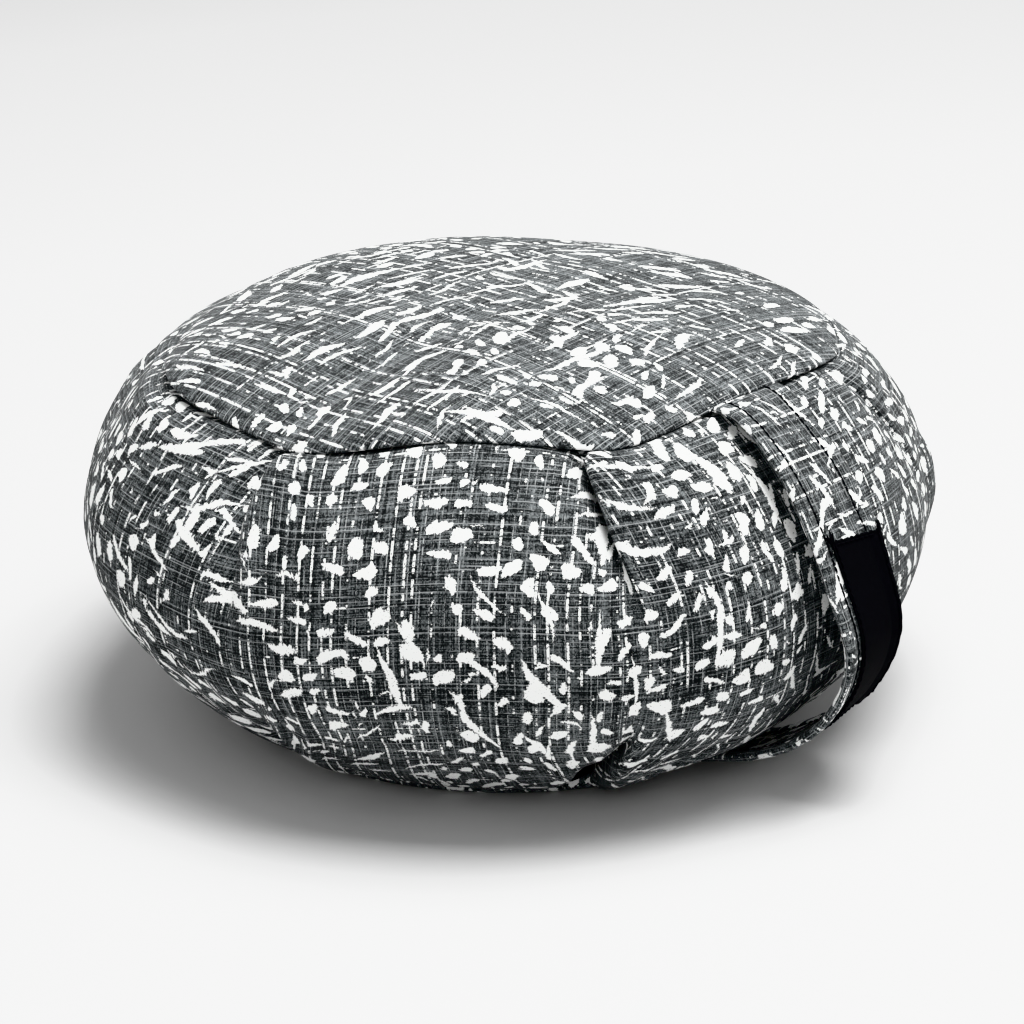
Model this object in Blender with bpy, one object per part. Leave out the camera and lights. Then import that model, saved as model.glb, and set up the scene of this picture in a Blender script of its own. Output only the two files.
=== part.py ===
"""Zafu meditation cushion: a crowned round cushion whose side band is tucked into its top and
bottom panels, with a carry handle of flat strap and a plain label on the handle.

Metres, +Z up. The origin is the centre of the flat face that the cushion rests on, and the
handle stands out along +X.
"""

import math

import bmesh
import bpy
import numpy as np

COLLECTION = "Zafu cushion"

# Driving dimensions
DIAMETER = 0.400
CROWN_HEIGHT = 0.196
TOP_SEAM_RADIUS = 0.1525
TOP_SEAM_HEIGHT = 0.168
BOTTOM_SEAM_RADIUS = 0.128
BOTTOM_SEAM_HEIGHT = 0.0055
REST_RADIUS = 0.120
TUCKS = 6
TUCK_DEGREES = 360 / TUCKS
CORNER_RISE = 0.060  # how far a ring with a full hexagon share stands out at its corners
CORNER_DROP = 0.0045  # the top seam lies this much lower at a tuck than between two
MEAN_CORNER = 0.32  # a hexagon's mean share of its corners' rise
UNEVEN_REACH = 0.75  # the seam's unevenness fades out this share of the way down the band
WAVE_EDGE = 0.12  # the band's waves start within this share of its height from a seam

STRAP_WIDTH = 0.050
STRAP_STEP = 0.0065
ROUTE_PARTS = 12  # points a span of the strap's route, before it is evenly spaced
LABEL_GAP = 0.0003
LABEL_THICKNESS = 0.0009
LABEL_LEFT = -0.0155
LABEL_RIGHT = 0.0235
LABEL_START = 0.078  # along the strap from its upper end
LABEL_LENGTH = 0.104
SHARP_EDGE = math.radians(50)

# The crown, from the middle of the top panel to its seam.
# across: share of the seam's radius; up: share of the rise from the seam to the crown;
# hexagon: how far the ring takes the seam's six-sided shape.
CROWN_COLUMNS = ("across", "up", "hexagon")
CROWN_ROWS = (
    (0.160, 0.995, 0.00),
    (0.340, 0.975, 0.05),
    (0.500, 0.940, 0.12),
    (0.640, 0.890, 0.25),
    (0.750, 0.830, 0.40),
    (0.835, 0.755, 0.60),
    (0.900, 0.660, 0.78),
    (0.945, 0.540, 0.90),
    (0.974, 0.400, 1.00),
    (0.985, 0.230, 1.00),
    (0.982, 0.010, 1.00),
)

# The side band, from the top seam to the bottom seam.
# down: share of the way down; out: share of the way out to the widest ring, from the nearer
# seam; hexagon: as above; upper, lower: how much of a tuck's depth is left in this ring.
BAND_COLUMNS = ("down", "out", "hexagon", "upper", "lower")
BAND_ROWS = (
    (0.004, 0.009, 1.00, 0.10, 0.00),
    (0.007, 0.070, 0.98, 0.45, 0.00),
    (0.024, 0.161, 0.85, 0.80, 0.00),
    (0.052, 0.289, 0.62, 1.00, 0.00),
    (0.092, 0.439, 0.35, 1.00, 0.00),
    (0.144, 0.591, 0.05, 0.92, 0.00),
    (0.208, 0.738, -0.20, 0.72, 0.00),
    (0.280, 0.861, -0.32, 0.46, 0.00),
    (0.357, 0.949, -0.30, 0.22, 0.05),
    (0.434, 0.995, -0.20, 0.06, 0.10),
    (0.514, 0.990, -0.12, 0.00, 0.18),
    (0.594, 0.944, -0.10, 0.00, 0.30),
    (0.673, 0.857, -0.10, 0.00, 0.45),
    (0.750, 0.731, -0.10, 0.00, 0.62),
    (0.822, 0.584, -0.05, 0.00, 0.80),
    (0.888, 0.413, 0.05, 0.00, 0.95),
    (0.942, 0.248, 0.15, 0.00, 1.00),
    (0.979, 0.115, 0.25, 0.00, 0.90),
    (0.996, 0.042, 0.30, 0.00, 0.55),
)

# The bottom panel, from its seam to the flat face. inward: share of the way in to that face;
# up: share of the seam's height; hexagon, lower: as above.
BOTTOM_COLUMNS = ("inward", "up", "hexagon", "lower")
BOTTOM_ROWS = (
    (0.10, 1.00, 0.30, 0.10),
    (0.20, 0.62, 0.28, 0.00),
    (0.52, 0.16, 0.25, 0.00),
    (1.00, 0.00, 0.20, 0.00),
)

# One tuck across, at full depth. plain: degrees from the tuck where the band is smooth;
# along: where that point lies on the folded cloth; inward: how deep it lies.
# The cloth on the far side laps over the hollow.
TUCK_COLUMNS = ("plain", "along", "inward")
TUCK_ROWS = (
    (-7.8, -0.0200, 0.0006),
    (-5.4, -0.0128, 0.0020),
    (-3.4, -0.0068, 0.0044),
    (-1.9, -0.0018, 0.0074),
    (-0.8, 0.0020, 0.0098),
    (0.3, 0.0031, 0.0084),
    (1.3, 0.0012, 0.0044),
    (2.3, 0.0008, 0.0008),
    (3.8, 0.0046, -0.0014),
    (5.8, 0.0124, -0.0016),
    (7.9, 0.0204, -0.0006),
)
PLAIN_DEGREES = (-30.0, -25.2, -20.6, -16.4, -12.6, -10.0, 10.2, 13.0, 16.6, 20.8, 25.4)

# The six tucks round the cushion, as unevenly filled as it is. turn: degrees from the corner of
# the top panel to the fold; out, up: how far the top seam stands out and up at the corner;
# upper, lower: the tuck's depth against the standard one; slant: degrees that the fold runs
# sideways down to the middle.
FOLD_COLUMNS = ("turn", "out", "up", "upper", "lower", "slant")
FOLD_ROWS = (
    (-2.0, -0.0015, 0.0070, 0.95, 1.00, 1.5),
    (2.0, 0.0000, -0.0040, 1.05, 0.85, -1.5),
    (-1.0, 0.0010, -0.0020, 0.90, 0.90, 2.0),
    (1.0, 0.0070, -0.0050, 1.00, 0.80, -1.0),
    (2.0, -0.0040, 0.0010, 0.80, 0.85, -2.0),
    (-5.5, -0.0070, 0.0030, 1.10, 1.15, 2.0),
)

# Soft unevenness of the filled band: waves round it. count: waves in a turn; phase: degrees;
# drift: degrees that a wave moves sideways down the band; height: of the wave.
WAVE_COLUMNS = ("count", "phase", "drift", "height")
WAVE_ROWS = (
    (2, 20.0, 30.0, 0.0014),
    (3, 110.0, -60.0, 0.0010),
    (5, 40.0, 80.0, 0.0010),
    (11, 250.0, -140.0, 0.0006),
)

# The strap's route in the plane of +X and +Z, along the middle of its thickness, from the
# top seam, over the side, and back under to the bottom seam. twist: how much further out the
# strap's edge on the -Y side stands than its middle.
ROUTE_COLUMNS = ("x", "z", "twist")
ROUTE_ROWS = (
    (0.1458, 0.1784, 0.0000),
    (0.1556, 0.1747, 0.0000),
    (0.1650, 0.1680, 0.0000),
    (0.1736, 0.1602, 0.0000),
    (0.1816, 0.1516, 0.0005),
    (0.1894, 0.1413, 0.0015),
    (0.1967, 0.1297, 0.0028),
    (0.2028, 0.1160, 0.0040),
    (0.2075, 0.1010, 0.0050),
    (0.2118, 0.0870, 0.0050),
    (0.2125, 0.0735, 0.0050),
    (0.2095, 0.0605, 0.0050),
    (0.2030, 0.0480, 0.0047),
    (0.1930, 0.0365, 0.0042),
    (0.1800, 0.0262, 0.0035),
    (0.1660, 0.0178, 0.0025),
    (0.1520, 0.0106, 0.0012),
    (0.1410, 0.0058, 0.0000),
    (0.1335, 0.0037, 0.0000),
)

# Half of the strap's section, from its middle to an edge. across: from the middle;
# half: half of its thickness. The folded edges are full, the sewn lines drawn in.
STRAP_COLUMNS = ("across", "half")
STRAP_ROWS = (
    (0.0000, 0.0019),
    (0.0080, 0.0018),
    (0.0148, 0.0012),
    (0.0168, 0.0018),
    (0.0196, 0.0029),
    (0.0226, 0.0028),
    (0.0244, 0.0016),
)

CHARCOAL = (0.105, 0.112, 0.122, 1.0)
PALE_CHARCOAL = (0.125, 0.132, 0.142, 1.0)
BLACK = (0.008, 0.008, 0.009, 1.0)


def table(columns, rows):
    """The rows as one array for each named column."""
    return dict(zip(columns, np.array(rows, float).T))


def smooth_path(points, parts):
    """A smooth curve through the points, a Catmull-Rom spline with this many parts a span."""
    before = 2 * points[0] - points[1]
    after = 2 * points[-1] - points[-2]
    p = np.vstack([before, points, after])
    t = (np.arange(parts) / parts)[:, None]
    spans = []
    for i in range(len(points) - 1):
        a, b, c, d = p[i : i + 4]
        bend = (2 * a - 5 * b + 4 * c - d) * t**2
        turn = (3 * b - a - 3 * c + d) * t**3
        spans.append((2 * b + (c - a) * t + bend + turn) / 2)
    return np.vstack(spans + [points[-1:]])


def evenly(path, step):
    """Points along the path at about this spacing, its ends kept."""
    length = np.concatenate([[0], np.cumsum(np.linalg.norm(np.diff(path, axis=0), axis=1))])
    count = max(2, round(length[-1] / step) + 1)
    at = np.linspace(0, length[-1], count)
    return np.stack([np.interp(at, length, axis) for axis in path.T], axis=1)


def corner_share(degrees):
    """How far a hexagon's side stands out at this angle from a corner: 1 there, 0 half way."""
    from_middle = math.radians(TUCK_DEGREES / 2 - abs(degrees))
    return (1 / math.cos(from_middle) - 1) / (1 / math.cos(math.pi / TUCKS) - 1)


def between(values, index, degrees):
    """The tucks' values, eased from one tuck to the next, at these degrees from one tuck."""
    neighbour = values[(index + (1 if degrees > 0 else -1)) % len(values)]
    share = (1 - math.cos(math.pi * abs(degrees) / TUCK_DEGREES)) / 2
    return values[index] + share * (neighbour - values[index])


def section_rows():
    """The cushion's section from the crown to the rest face, one entry a ring: radius, height,
    hexagon share, what is left of the upper and the lower tuck, and share of the unevenness."""
    crown = table(CROWN_COLUMNS, CROWN_ROWS)
    radius = crown["across"] * TOP_SEAM_RADIUS
    height = TOP_SEAM_HEIGHT + crown["up"] * (CROWN_HEIGHT - TOP_SEAM_HEIGHT)
    none = np.zeros_like(radius)
    crown_part = np.stack([radius, height, crown["hexagon"], none, none, none + 1.0], axis=1)

    band = table(BAND_COLUMNS, BAND_ROWS)
    widest = band["out"].argmax()
    seam = np.where(np.arange(len(band["out"])) <= widest, TOP_SEAM_RADIUS, BOTTOM_SEAM_RADIUS)
    radius = seam + band["out"] * (DIAMETER / 2 - seam)
    height = TOP_SEAM_HEIGHT + band["down"] * (BOTTOM_SEAM_HEIGHT - TOP_SEAM_HEIGHT)
    uneven = np.clip(1 - band["down"] / UNEVEN_REACH, 0, 1)
    band_part = np.stack([radius, height, band["hexagon"], band["upper"], band["lower"], uneven], axis=1)

    bottom = table(BOTTOM_COLUMNS, BOTTOM_ROWS)
    radius = BOTTOM_SEAM_RADIUS + bottom["inward"] * (REST_RADIUS - BOTTOM_SEAM_RADIUS)
    height = BOTTOM_SEAM_HEIGHT * bottom["up"]
    none = np.zeros_like(radius)
    bottom_part = np.stack([radius, height, bottom["hexagon"], none, bottom["lower"], none], axis=1)
    return np.vstack([crown_part, band_part, bottom_part])


def outward_normals(section):
    """The section's outward direction at each ring, in radius and height."""
    way = np.gradient(section[:, :2], axis=0)
    out = np.stack([-way[:, 1], way[:, 0]], axis=1)
    return out / np.linalg.norm(out, axis=1, keepdims=True)


def sector_columns():
    """The columns of one tuck's sixty degrees, in order: plain degrees, folded place, depth."""
    tuck = table(TUCK_COLUMNS, TUCK_ROWS)
    edge = max(abs(tuck["plain"]))
    rows = [(degrees, None, 0.0) for degrees in PLAIN_DEGREES if abs(degrees) > edge]
    rows += list(zip(tuck["plain"], tuck["along"], tuck["inward"]))
    return sorted(rows, key=lambda row: row[0])


def band_waves(angle, down):
    """The waves of the filled band at this angle, this share of the way down it."""
    waves = table(WAVE_COLUMNS, WAVE_ROWS)
    turned = waves["count"] * angle + np.radians(waves["phase"] + waves["drift"] * down)
    fade = np.clip(min(down, 1 - down) / WAVE_EDGE, 0, 1)
    return fade * float(np.sum(waves["height"] * np.cos(turned)))


def cushion_ring(row, out):
    """The points round one ring of the cushion, of this section row and outward direction."""
    radius, height, hexagon, upper, lower, uneven = row
    folds = table(FOLD_COLUMNS, FOLD_ROWS)
    down = float(np.clip((TOP_SEAM_HEIGHT - height) / TOP_SEAM_HEIGHT, 0, 1))
    drop = CORNER_DROP * max(hexagon, 0) if height > CROWN_HEIGHT / 2 else 0
    ring = []
    for index in range(TUCKS):
        depth = upper * folds["upper"][index] + lower * folds["lower"][index]
        slant = folds["slant"][index] * math.sin(math.pi * down)
        for plain, along, inward in sector_columns():
            nearness = 1 - abs(plain) / (TUCK_DEGREES / 2)
            place = plain + folds["turn"][index] * nearness
            degrees = TUCK_DEGREES * (index + 0.5) + place + slant * nearness
            if along is not None:
                degrees += min(depth, 1) * (math.degrees(along / radius) - plain)
            angle = math.radians(degrees)
            corner = corner_share(place) - MEAN_CORNER
            swell = band_waves(angle, down) - depth * inward
            size = radius / TOP_SEAM_RADIUS
            away = radius * (1 + CORNER_RISE * hexagon * corner)
            away += uneven * size * between(folds["out"], index, place) + swell * out[0]
            up = height - drop * corner + swell * out[1]
            up += uneven * min(size, 1) * between(folds["up"], index, place)
            ring.append((away * math.cos(angle), away * math.sin(angle), up))
    return ring


def cushion_rings():
    """Every ring of the cushion's surface. The last one is the edge of the flat rest face."""
    section = section_rows()
    rings = [cushion_ring(row, out) for row, out in zip(section, outward_normals(section))]
    rings[-1] = [(x, y, 0.0) for x, y, _ in rings[-1]]
    return rings


def loft(rings, closed_start, closed_end):
    """A mesh through rings of equal length. A closed end is one flat face."""
    mesh = bmesh.new()
    rows = [[mesh.verts.new(point) for point in ring] for ring in rings]
    for first, second in zip(rows, rows[1:]):
        for i in range(len(first)):
            j = (i + 1) % len(first)
            mesh.faces.new((first[i], second[i], second[j], first[j]))
    if closed_start:
        mesh.faces.new(rows[0])
    if closed_end:
        mesh.faces.new(list(reversed(rows[-1])))
    return mesh, rows


def finished(mesh, name, material):
    """An object of the mesh, in the cushion's collection, shaded smooth."""
    bmesh.ops.recalc_face_normals(mesh, faces=mesh.faces)
    data = bpy.data.meshes.new(name)
    mesh.to_mesh(data)
    mesh.free()
    data.shade_smooth()
    data.set_sharp_from_angle(angle=SHARP_EDGE)
    data.materials.append(material)
    made = bpy.data.objects.new(name, data)
    bpy.data.collections[COLLECTION].objects.link(made)
    return made


def cloth(name, colour, roughness):
    """A Principled material of one colour."""
    made = bpy.data.materials.new(name)
    made.use_nodes = True
    shader = made.node_tree.nodes["Principled BSDF"]
    shader.inputs["Base Color"].default_value = colour
    shader.inputs["Roughness"].default_value = roughness
    shader.inputs["Metallic"].default_value = 0.0
    return made


def make_cushion(material):
    """The filled cushion: crown, seams, tucked band and the flat face that it rests on."""
    rings = cushion_rings()
    mesh, rows = loft(rings, False, True)
    middle = mesh.verts.new((0, 0, CROWN_HEIGHT))
    for i in range(len(rows[0])):
        mesh.faces.new((middle, rows[0][i], rows[0][(i + 1) % len(rows[0])]))
    return finished(mesh, "cushion", material)


def strap_path():
    """Points along the strap's route, evenly spaced: place, outward direction and twist."""
    route = table(ROUTE_COLUMNS, ROUTE_ROWS)
    through = np.stack([route["x"], route["z"], route["twist"]], axis=1)
    path = evenly(smooth_path(through, ROUTE_PARTS), STRAP_STEP)
    way = np.gradient(path[:, :2], axis=0)
    out = np.stack([-way[:, 1], way[:, 0]], axis=1)
    return path[:, :2], out / np.linalg.norm(out, axis=1, keepdims=True), path[:, 2]


def strap_ring(station, around):
    """The points round the strap's section at a station, each given as (across, outward)."""
    (x, z), (out_x, out_z), twist = station
    ring = []
    for y, outward in around:
        off = outward - twist * y / (STRAP_WIDTH / 2)
        ring.append((x + out_x * off, y, z + out_z * off))
    return ring


def strap_half(across):
    """Half of the strap's thickness at this distance from its middle."""
    half = table(STRAP_COLUMNS, STRAP_ROWS)
    return np.interp(np.abs(across), half["across"], half["half"])


def make_handle(material):
    """The carry handle: one flat strap with full edges, bowed out from the side."""
    half = table(STRAP_COLUMNS, STRAP_ROWS)
    across = np.concatenate([-half["across"][:0:-1], half["across"]])
    thick = np.concatenate([half["half"][:0:-1], half["half"]])
    edge = STRAP_WIDTH / 2
    around = [(-edge, 0.0)] + list(zip(across, thick)) + [(edge, 0.0)]
    around += list(zip(across[::-1], -thick[::-1]))
    rings = [strap_ring(station, around) for station in zip(*strap_path())]
    mesh, _ = loft(rings, True, True)
    return finished(mesh, "handle", material)


def make_label(material):
    """The label: a thin patch that follows the outer face of the strap."""
    stations = list(zip(*strap_path()))
    first = round(LABEL_START / STRAP_STEP)
    last = first + round(LABEL_LENGTH / STRAP_STEP)
    bends = table(STRAP_COLUMNS, STRAP_ROWS)["across"]
    inside = [y for y in np.concatenate([-bends, bends[1:]]) if LABEL_LEFT < y < LABEL_RIGHT]
    across = np.array(sorted([LABEL_LEFT, *inside, LABEL_RIGHT]))
    under = strap_half(across) + LABEL_GAP
    around = list(zip(across, under + LABEL_THICKNESS)) + list(zip(across[::-1], under[::-1]))
    rings = [strap_ring(station, around) for station in stations[first : last + 1]]
    mesh, _ = loft(rings, True, True)
    return finished(mesh, "label", material)


def main():
    for thing in list(bpy.data.objects):
        bpy.data.objects.remove(thing)
    bpy.context.scene.collection.children.link(bpy.data.collections.new(COLLECTION))
    make_cushion(cloth("cover_cloth", CHARCOAL, 0.85))
    make_handle(cloth("strap_cloth", PALE_CHARCOAL, 0.85))
    make_label(cloth("label_weave", BLACK, 0.7))


main()
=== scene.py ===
"""The looks of a zafu meditation cushion: its sewn cover, carry handle, patch and stitching.

Metres, +Z up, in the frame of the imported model. The cover is three panels of one slub cotton: a
round top panel, a side band tucked into it six times, and a round bottom panel.
"""

import math

import bpy
import numpy as np
from mathutils import Matrix, Vector


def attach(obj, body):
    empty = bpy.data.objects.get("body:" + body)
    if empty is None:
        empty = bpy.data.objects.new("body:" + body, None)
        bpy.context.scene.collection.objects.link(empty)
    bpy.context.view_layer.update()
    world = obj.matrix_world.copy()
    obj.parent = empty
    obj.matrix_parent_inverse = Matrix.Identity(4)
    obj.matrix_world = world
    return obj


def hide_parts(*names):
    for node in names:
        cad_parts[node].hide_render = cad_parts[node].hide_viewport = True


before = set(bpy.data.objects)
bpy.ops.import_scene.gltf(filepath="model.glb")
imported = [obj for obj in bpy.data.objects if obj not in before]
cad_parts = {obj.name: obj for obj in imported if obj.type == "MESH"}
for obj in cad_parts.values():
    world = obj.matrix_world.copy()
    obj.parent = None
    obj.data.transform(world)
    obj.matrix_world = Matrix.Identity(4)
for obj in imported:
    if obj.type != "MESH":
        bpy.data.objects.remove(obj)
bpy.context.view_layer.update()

# Driving dimensions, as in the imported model
DIAMETER = 0.400
CROWN_HEIGHT = 0.1962
TOP_SEAM_RADIUS = 0.1525
TOP_SEAM_HEIGHT = 0.1745
BOTTOM_SEAM_RADIUS = 0.128
BOTTOM_SEAM_HEIGHT = 0.0055
REST_RADIUS = 0.120
TUCKS = 6
TUCK_DEGREES = 360 / TUCKS
CORNER_RISE = 0.060  # how far a ring with a full hexagon share stands out at its corners
CORNER_DROP = 0.0045  # the top seam lies this much lower at a tuck than between two
CORNER_ROUND = 3.5  # degrees over which a corner is rounded
MEAN_CORNER = 0.32  # a hexagon's mean share of its corners' rise
UNEVEN_REACH = 0.75  # the seam's unevenness fades out this share of the way down the band
WAVE_EDGE = 0.12  # the band's waves start within this share of its height from a seam
SHOULDER_FULL = 0.16  # shares of the way down the band over which its shoulders swell and fade
SHOULDER_FADE = 0.30
SHOULDER_END = 0.75
CREASE_BULGE = 0.06  # the band's cloth is longer than its height by this
CREASE_SPREAD = 0.6  # how much wider a crease is at its far end
CREASE_RISE = (-0.08, 0.22)  # shares of a crease's length over which it comes up
CREASE_FADE = (0.45, 1.05)  # and over which it fades
FURROW_PLACE = 1.6  # of the furrows beside a ridge, in its widths from its middle
VARY_TUCK = 2.4  # radians by which the creases vary from one tuck to the next
VARY_CREASE = 1.7  # and from one crease to the next
VARY_TURN = 2.5  # degrees that a crease's far end moves
VARY_DOWN = 0.03  # and how far it moves down the band
MEAN_HEIGHT = 0.8  # of a fan's creases, against the height in the table
VARY_HEIGHT = 0.45
VARY_WIDTH = 0.15
BAND_LENGTH = math.pi * DIAMETER  # the side band as it was cut
EVEN_DEGREES = 9.0  # over which the band's map is evened out
OPEN_DEPTHS = (0.02, 0.95)  # depths of a tuck over which the band's map goes from open to folded

STRAP_WIDTH = 0.050
STRAP_STEP = 0.0012
STRAP_FULL = 0.030  # from an end of the strap to where its folded edges are full
STRAP_PINCH = 0.12  # share of its width that the strap loses where the top seam gathers it
PINCH_START = 0.015  # along the strap, where it starts to widen, and where it is at full width
PINCH_END = 0.060
PUCKER_PITCH = 0.0123  # between the small puckers that the stitching draws in the edges
PUCKER_SHARE = 0.24  # of the edge's thickness
PUCKER_SHIFT = 2.1  # radians by which the two edges' puckers are out of step
PUCKER_SECOND = 1.7  # second waves of a pucker, for each first one
LABEL_LEFT = -0.0128
LABEL_RIGHT = 0.0226
LABEL_START = 0.0860  # along the strap from its upper end
LABEL_LENGTH = 0.0950
LABEL_SKEW = 0.004  # the patch's right side lies this much further down the strap
LABEL_THICKNESS = 0.0009
LABEL_STEP = 0.0007

RING_PARTS = 5  # rings between two rows of a section's table
TUCK_PARTS = 4  # columns between two rows of the tuck's table
ROUTE_PARTS = 12  # and so for the strap's route, its mesh and its thickness
STRAP_PARTS = 3
HALF_PARTS = 4
PLAIN_STEP = 1.1  # degrees between two columns away from the tucks

# The crown, from the middle of the top panel to its edge, which turns in under itself.
# across: share of the seam's radius; up: share of the rise from the seam to the crown;
# hexagon: how far the ring takes the seam's six-sided shape.
CROWN_ROWS = (
    (0.002, 1.000, 0.00),
    (0.160, 0.989, 0.00),
    (0.340, 0.945, 0.05),
    (0.500, 0.864, 0.12),
    (0.640, 0.756, 0.25),
    (0.750, 0.631, 0.40),
    (0.835, 0.500, 0.60),
    (0.900, 0.375, 0.78),
    (0.945, 0.259, 0.90),
    (0.974, 0.161, 1.00),
    (0.989, 0.084, 1.00),
    (0.994, 0.026, 1.00),
    (0.987, -0.020, 1.00),
    (0.967, -0.050, 1.00),
    (0.940, -0.040, 1.00),
)

# The side band, from the top seam to the bottom seam.
# down: share of the way down; out: share of the way out to the widest ring, from the nearer
# seam; hexagon: as above; upper, lower: how much of a tuck's depth is left in this ring.
BAND_ROWS = (
    (0.009, -0.220, 1.00, 0.10, 0.00),
    (0.0055, -0.080, 1.00, 0.20, 0.00),
    (0.0055, 0.007, 1.00, 0.38, 0.00),
    (0.0115, 0.056, 0.98, 0.68, 0.00),
    (0.028, 0.138, 0.85, 0.92, 0.00),
    (0.053, 0.260, 0.62, 1.00, 0.00),
    (0.092, 0.409, 0.35, 1.00, 0.00),
    (0.144, 0.565, 0.05, 0.92, 0.00),
    (0.208, 0.719, -0.20, 0.72, 0.00),
    (0.280, 0.850, -0.32, 0.46, 0.00),
    (0.357, 0.944, -0.30, 0.22, 0.00),
    (0.434, 0.995, -0.20, 0.06, 0.00),
    (0.514, 0.990, -0.12, 0.00, 0.00),
    (0.594, 0.945, -0.10, 0.00, 0.03),
    (0.673, 0.862, -0.10, 0.00, 0.09),
    (0.750, 0.740, -0.10, 0.00, 0.22),
    (0.822, 0.596, -0.05, 0.00, 0.46),
    (0.888, 0.427, 0.05, 0.00, 0.80),
    (0.942, 0.261, 0.15, 0.00, 1.00),
    (0.979, 0.125, 0.25, 0.00, 0.92),
    (0.996, 0.048, 0.30, 0.00, 0.60),
)

# The bottom panel, from its seam to the middle of the flat face. inward: share of the way in to
# that face's edge; up: share of the seam's height; hexagon, lower: as above.
BOTTOM_ROWS = (
    (0.00, 1.04, 0.30, 0.20),
    (0.10, 0.90, 0.30, 0.10),
    (0.22, 0.58, 0.28, 0.00),
    (0.52, 0.16, 0.25, 0.00),
    (1.00, 0.00, 0.20, 0.00),
    (2.50, 0.00, 0.15, 0.00),
    (6.00, 0.00, 0.00, 0.00),
    (10.0, 0.00, 0.00, 0.00),
    (15.9, 0.00, 0.00, 0.00),
)

# One tuck across, at full depth. plain: degrees from the tuck where the band is smooth;
# along: where that point lies on the folded cloth; inward: how deep it lies.
# The cloth on the far side laps over the hollow.
TUCK_ROWS = (
    (-7.8, -0.0200, 0.0004),
    (-5.4, -0.0128, 0.0016),
    (-3.4, -0.0066, 0.0038),
    (-1.9, -0.0014, 0.0068),
    (-0.8, 0.0026, 0.0098),
    (0.1, 0.0048, 0.0112),
    (0.7, 0.0044, 0.0092),
    (1.1, 0.0024, 0.0062),
    (1.5, 0.0004, 0.0032),
    (2.0, -0.0004, 0.0006),
    (2.6, 0.0006, -0.0010),
    (3.4, 0.0032, -0.0018),
    (4.5, 0.0072, -0.0019),
    (5.9, 0.0124, -0.0015),
    (7.9, 0.0204, -0.0005),
)

# The six tucks round the cushion, as unevenly filled as it is. turn: degrees from the corner of
# the top panel to the fold; out, up: how far the top seam stands out and up at the corner;
# upper, lower: the tuck's depth against the standard one; slant: degrees that the fold runs
# sideways down to the middle; foot: degrees further round that it ends at the bottom seam.
FOLD_ROWS = (
    (-8.0, -0.0012, 0.0028, 0.22, 0.90, 8.0, 3.0),
    (2.0, -0.0047, 0.0018, 1.05, 0.85, -1.5, -3.0),
    (-1.0, 0.0040, 0.0024, 0.90, 1.05, 2.0, 2.0),
    (1.0, 0.0001, 0.0003, 1.00, 0.90, -1.0, -2.0),
    (-1.2, -0.0056, -0.0078, 1.18, 0.95, 0.0, 2.0),
    (-7.0, -0.0075, -0.0008, 1.15, 1.90, 3.0, 2.4),
)

# The six stretches between two tucks, each after the tuck of the same row above. out, up: how
# far the top seam stands out and up at the middle; full: how far the shoulder below it swells.
SIDE_ROWS = (
    (0.0058, -0.0037, -0.0024),
    (0.0003, -0.0029, 0.0000),
    (-0.0006, 0.0004, 0.0091),
    (0.0153, 0.0021, -0.0045),
    (-0.0006, 0.0049, 0.0000),
    (-0.0036, 0.0016, -0.0001),
)

# Soft unevenness of the filled band: waves round it. count: waves in a turn; phase: degrees;
# drift: degrees that a wave moves sideways down the band; height: of the wave.
WAVE_ROWS = (
    (2, 20.0, 30.0, 0.0014),
    (3, 110.0, -60.0, 0.0010),
    (5, 40.0, 80.0, 0.0010),
    (11, 250.0, -140.0, 0.0006),
)

# Creases of the band's cloth: the angle and the share of the way down where one starts, and
# where it ends; its height, width and bow in metres; the furrows on both sides against its
# height. Angles are in degrees round the cushion, for the fans from the middle of their tuck.
FAN_SIDES = 0.45  # the furrows of every crease of a fan
FAN_ROWS = (
    (3.0, 0.93, 13.0, 0.60, 0.0018, 0.0042, 0.004),
    (6.0, 0.95, 22.0, 0.74, 0.0015, 0.0036, 0.003),
    (1.0, 0.90, 5.0, 0.62, 0.0010, 0.0036, 0.001),
    (-4.0, 0.92, -13.0, 0.66, 0.0013, 0.0040, -0.003),
    (-7.0, 0.95, -22.0, 0.80, 0.0011, 0.0036, -0.002),
    (5.0, 0.04, 15.0, 0.26, 0.0010, 0.0036, -0.003),
    (-6.0, 0.05, -15.0, 0.24, 0.0009, 0.0034, 0.003),
    (3.0, 0.18, 6.0, 0.52, 0.0010, 0.0050, 0.000),
)
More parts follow.
